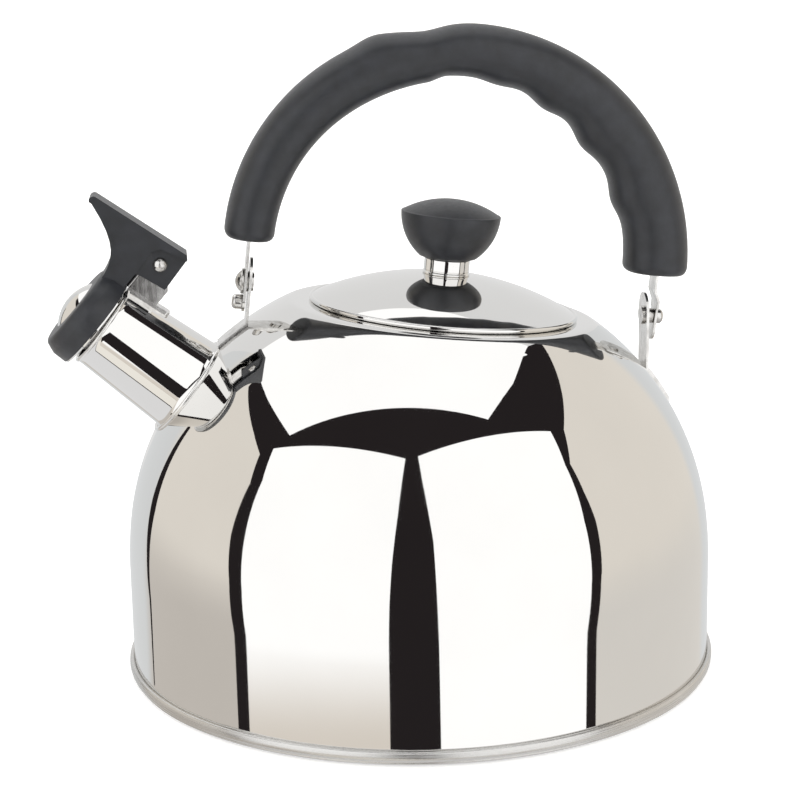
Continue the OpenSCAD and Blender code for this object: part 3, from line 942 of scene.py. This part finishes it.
class KETTLE_OT_cap(bpy.types.Operator):
    """Whistle cap, its lever and its whistle plate"""

    bl_idname = "kettle.cap"
    bl_label = "Whistle cap"

    def execute(self, context):
        steel, resin = FINISHES["polished"], FINISHES["resin"]
        lever = eased("cap_lever_skin", "cap_lever", 0.45)
        settle(lever, "whistle_cap", ["cap_lever"], resin)
        plate = make_whistle()
        settle(plate, "whistle_cap", ["whistle_dome"], steel)
        flange = eased("cap_flange", "whistle_flange", 0.2)
        settle(flange, "whistle_cap", ["whistle_flange"], steel)
        return {"FINISHED"}


class KETTLE_OT_fittings(bpy.types.Operator):
    """Hangers, straps, rivets and the cap's bracket"""

    bl_idname = "kettle.fittings"
    bl_label = "Fittings"

    def execute(self, context):
        corner = context.scene.kettle_sizes.corner / MM
        for body, slot, finish, nodes in (
            ("kettle", "strip_steel", "strip", ("hanger_left", "hanger_right")),
            ("kettle", "strip_steel", "strip", ("cap_bracket", "bracket_base")),
            ("kettle", "rivet_steel", "rivet", ("rivet_left", "rivet_right")),
            ("kettle", "rivet_steel", "rivet", ("spacer_left", "spacer_right")),
            ("kettle", "rivet_steel", "rivet", ("cap_rivet", "head_washer_left")),
            ("handle", "strip_steel", "strip", ("strap_left", "strap_right")),
            ("handle", "rivet_steel", "rivet", ("stop_stud",)),
        ):
            for node in nodes:
                piece = eased(node + "_skin", node, corner)
                settle(piece, body, [node], FINISHES[finish])
        return {"FINISHED"}


# ---- Studio
WHITE, WARM, PALE, GREY, BLACK = "ffffff", "d2cbc2", "e8e4dc", "d3d3d3", "272324"


def compass(azimuth, elevation, distance):
    """Point in metres at an azimuth from the front, towards +X, and height."""
    a, e = math.radians(azimuth), math.radians(elevation)
    flat = math.cos(e) * distance
    return [flat * math.sin(a), -flat * math.cos(a), math.sin(e) * distance]


def fade(tree, source, low, high, dark, light):
    """A colour that runs from dark to light as source goes low to high."""
    share = add(
        tree,
        "ShaderNodeMapRange",
        {"From Min": low, "From Max": high},
        {"Value": source},
        interpolation_type="SMOOTHSTEP",
    )
    return tint(tree, share.outputs["Result"], dark, light)


def card(name, left, right, distance, foot, colour, strength):
    """Panel for the mirrors to see, part of a ball about the kettle.

    left and right are its two edges, each a list of (azimuth, elevation)
    directions in degrees, with as many points as the other. Rows of the panel
    run straight from one edge to the other, and its colour turns to foot low
    down. The camera looks past it, and a black one casts no light.
    """
    steps, across = 12, np.linspace(0, 1, 25)[None, :, None]
    sides = []
    for edge in (left, right):
        corner = np.array([compass(a, e, 1.0) for a, e in edge])
        at = np.linspace(0, len(edge) - 1, steps * (len(edge) - 1) + 1)
        sides.append(
            np.stack([np.interp(at, range(len(edge)), c) for c in corner.T], -1)
        )
    grid = sides[0][:, None] * (1 - across) + sides[1][:, None] * across
    grid *= distance / np.linalg.norm(grid, axis=2, keepdims=True)
    rows, cols = grid.shape[:2]
    index = np.arange(rows * cols).reshape(rows, cols)
    quads = np.stack(
        [index[:-1, :-1], index[:-1, 1:], index[1:, 1:], index[1:, :-1]], -1
    )
    mesh = bpy.data.meshes.new(name)
    mesh.from_pydata(grid.reshape(-1, 3).tolist(), [], quads.reshape(-1, 4).tolist())
    finish = bpy.data.materials.new(name)
    finish.use_nodes = True
    tree = finish.node_tree
    tree.nodes.clear()
    coords = add(tree, "ShaderNodeTexCoord").outputs["Object"]
    level = add(tree, "ShaderNodeSeparateXYZ", links={"Vector": coords}).outputs["Z"]
    foot_low, foot_high = -0.385 * distance, -0.325 * distance
    ramp = fade(tree, level, foot_low, foot_high, foot, colour)
    glow = add(
        tree, "ShaderNodeEmission", {"Strength": strength}, {"Color": ramp}
    )
    output = add(tree, "ShaderNodeOutputMaterial")
    tree.links.new(glow.outputs["Emission"], output.inputs["Surface"])
    mesh.materials.append(finish)
    obj = bpy.data.objects.new(name, mesh)
    bpy.context.scene.collection.objects.link(obj)
    obj.visible_camera = False
    obj.visible_shadow = False
    obj.visible_diffuse = colour != BLACK
    return obj


def make_floor():
    """Floor and wall of white paper in one swept sheet."""
    flat, bend, top, thick = 6000, 3000, 9000, 50
    wall, back, under = flat + bend, flat + bend + thick, -2 * thick
    profile = np.concatenate(
        [
            line([1.0, 0], [flat, 0], 12),
            arc([flat, bend], bend, -90, 0, 16),
            line([wall, bend + 100], [wall, top], 4),
            line([back, top], [back, bend], 4),
            arc([flat, bend - thick], bend + thick, 0, -90, 16),
            line([flat, under], [1.0, under], 12),
        ]
    )
    sheet = skin("studio_sweep", turned(profile, 96))
    finish, tree, shader, coords = new_finish(
        "matt_white_paper", **{"Roughness": 0.9, "Specular IOR Level": 0.1}
    )
    drift = vary(tree, coords, 400, 0, 1)
    tree.links.new(
        tint(tree, drift, "f7f7f7", "fbfbfb"), shader.inputs["Base Color"]
    )
    shader.inputs["Emission Color"].default_value = linear("ffffff")
    shader.inputs["Emission Strength"].default_value = 0.35
    sheet.data.materials.append(finish)
    sheet.visible_glossy = False


def make_camera(scene):
    """Camera in front of the kettle, turned a little to the spout's side.

    Reach and height are metres from the middle of the base. Tilt looks down,
    pan looks aside and roll turns about the line of sight.
    """
    camera = bpy.data.cameras.new("camera")
    camera.sensor_width, camera.lens = 36.0, 87.29
    camera.clip_end = 100
    eye = bpy.data.objects.new("camera", camera)
    scene.collection.objects.link(eye)
    reach, turn, height = 0.6695, math.radians(-7), 0.2513
    tilt, pan, roll = (math.radians(x) for x in (13.232, -0.478, -0.951))
    eye.location = (
        reach * math.sin(turn), -reach * math.cos(turn), height
    )
    ahead = Vector(
        (
            -math.sin(turn) * math.cos(tilt),
            math.cos(turn) * math.cos(tilt),
            -math.sin(tilt),
        )
    )
    right = Vector((math.cos(turn), math.sin(turn), 0))
    ahead, right = (
        ahead * math.cos(pan) + right * math.sin(pan),
        right * math.cos(pan) - ahead * math.sin(pan),
    )
    up = right.cross(ahead)
    right, up = (
        right * math.cos(roll) + up * math.sin(roll),
        up * math.cos(roll) - right * math.sin(roll),
    )
    turned_axes = Matrix((right, up, -ahead)).transposed()
    eye.rotation_euler = turned_axes.to_euler()
    scene.camera = eye


# ---- Panels: name, distance in metres, colour at the foot, colour, and the
# left and right edges as (azimuth, elevation) in degrees, point for point
PANELS = (
    (
        "left_panel", 4.0, WARM, WHITE,
        [(-76, -26), (-76.3, -8), (-77.3, 10), (-79.1, 28.7), (-84, 39)],
        [(-19, -26), (-18, -8), (-17, 10), (-15.4, 29), (-13.5, 51)],
    ),
    (
        "right_panel", 4.0, WHITE, WHITE,
        [(0.3, -26), (-0.6, -5), (-1.3, 18.8), (-4.8, 42.5), (-6.5, 52)],
        [(58.2, -26), (59.9, -6), (61.1, 14), (64.8, 33), (71, 44)],
    ),
    (
        "top_panel", 4.0, WHITE, WHITE,
        [(-82, 45.5), (-112, 44.6), (-145, 34)],
        [(46, 60), (88, 61), (127, 51)],
    ),
    (
        "rear_panel", 4.0, GREY, GREY,
        [(-145, 34), (-155, 20), (-165, -10)],
        [(127, 51), (145, 25), (165, -10)],
    ),
    (
        "table_front", 4.2, PALE, PALE,
        [(-52, -40), (-52, -26)],
        [(-8, -40), (-8, -26)],
    ),
    (
        "dark_cloth", 5.0, BLACK, BLACK,
        [
            (-82.6, -5), (-84, 8), (-84.2, 25.5), (-88.5, 34.6),
            (-100, 37.1), (-127, 37.3), (-139, 45),
        ],
        [
            (64.8, -5), (66.4, 12), (66.3, 22), (67.5, 32),
            (78, 41), (95, 45), (131, 45),
        ],
    ),
    (
        "dark_left", 5.0, BLACK, BLACK,
        [(-81.4, -26), (-82.2, -15), (-82.6, -2)],
        [(-73, -26), (-73, -15), (-73, -2)],
    ),
    (
        "dark_middle", 5.0, BLACK, BLACK,
        [(-22, -26), (-22, 4)],
        [(4, -26), (4, 4)],
    ),
    (
        "dark_right", 5.0, BLACK, BLACK,
        [(55, -26), (55, -16), (55, -2)],
        [(63, -26), (63.6, -16), (64.9, -2)],
    ),
    (
        "dark_seam", 4.2, BLACK, BLACK,
        [(-54, -41.2), (-52, -40)],
        [(-6, -41.2), (-8, -40)],
    ),
    (
        "dark_post", 4.0, BLACK, BLACK,
        [(-137, -21), (-137.5, -3), (-135, 16)],
        [(-136, -21), (-132.5, -3), (-133, 16)],
    ),
)


class KETTLE_OT_stage(bpy.types.Operator):
    """Pale floor, soft panels, dark cloth and the camera"""

    bl_idname = "kettle.stage"
    bl_label = "Studio"

    def execute(self, context):
        studio = context.scene.kettle_studio
        scene = context.scene
        scene.view_settings.view_transform = "Standard"
        world = bpy.data.worlds.new("room")
        world.use_nodes = True
        tree = world.node_tree
        coords = add(tree, "ShaderNodeTexCoord").outputs["Generated"]
        split = add(tree, "ShaderNodeSeparateXYZ", links={"Vector": coords}).outputs
        low = fade(tree, split["X"], -0.3, 0.3, "cfc9c2", "e3dfd9")
        warm = fade(tree, split["Z"], -0.31, -0.03, low, "ede7de")
        table = fade(tree, split["Z"], -0.68, -0.62, "ededee", warm)
        walls = fade(tree, split["Y"], 0.68, 0.78, table, "dfe1e2")
        background = tree.nodes["Background"]
        tree.links.new(walls, background.inputs["Color"])
        background.inputs["Strength"].default_value = studio.room
        scene.world = world

        make_floor()
        for name, distance, foot, colour, left, right in PANELS:
            strength = 1.0 if colour == BLACK else studio.panel
            card(name, left, right, distance, foot, colour, strength)

        make_camera(scene)
        return {"FINISHED"}


class KETTLE_PT_panel(bpy.types.Panel):
    """Lists the kettle's pieces in the sidebar"""

    bl_idname = "KETTLE_PT_panel"
    bl_label = "Whistling kettle"
    bl_space_type = "VIEW_3D"
    bl_region_type = "UI"
    bl_category = "Kettle"

    def draw(self, context):
        layout = self.layout
        for operator in STEPS:
            layout.operator(operator.bl_idname)
        for group in ("kettle_sizes", "kettle_colours", "kettle_studio"):
            settings = getattr(context.scene, group)
            for name in settings.bl_rna.properties.keys():
                if name not in ("rna_type", "name"):
                    layout.prop(settings, name)


STEPS = (
    KETTLE_OT_finishes,
    KETTLE_OT_body,
    KETTLE_OT_spout,
    KETTLE_OT_lid,
    KETTLE_OT_grip,
    KETTLE_OT_cap,
    KETTLE_OT_fittings,
    KETTLE_OT_stage,
)
GROUPS = {
    "kettle_sizes": KettleSizes,
    "kettle_colours": KettleColours,
    "kettle_studio": StudioSettings,
}


def register():
    """Registers the classes and hangs the settings on the scene."""
    for cls in (*GROUPS.values(), *STEPS, KETTLE_PT_panel):
        bpy.utils.register_class(cls)
    for name, group in GROUPS.items():
        setattr(bpy.types.Scene, name, bpy.props.PointerProperty(type=group))


def unregister():
    """Takes the settings and the classes away again."""
    for name in GROUPS:
        delattr(bpy.types.Scene, name)
    for cls in (KETTLE_PT_panel, *STEPS[::-1], *GROUPS.values()):
        bpy.utils.unregister_class(cls)


def main():
    register()
    for step in STEPS:
        name = step.bl_idname.split(".")[1]
        if getattr(bpy.ops.kettle, name)() != {"FINISHED"}:
            raise RuntimeError(f"{step.bl_label} was not made")


if __name__ == "__main__":
    main()
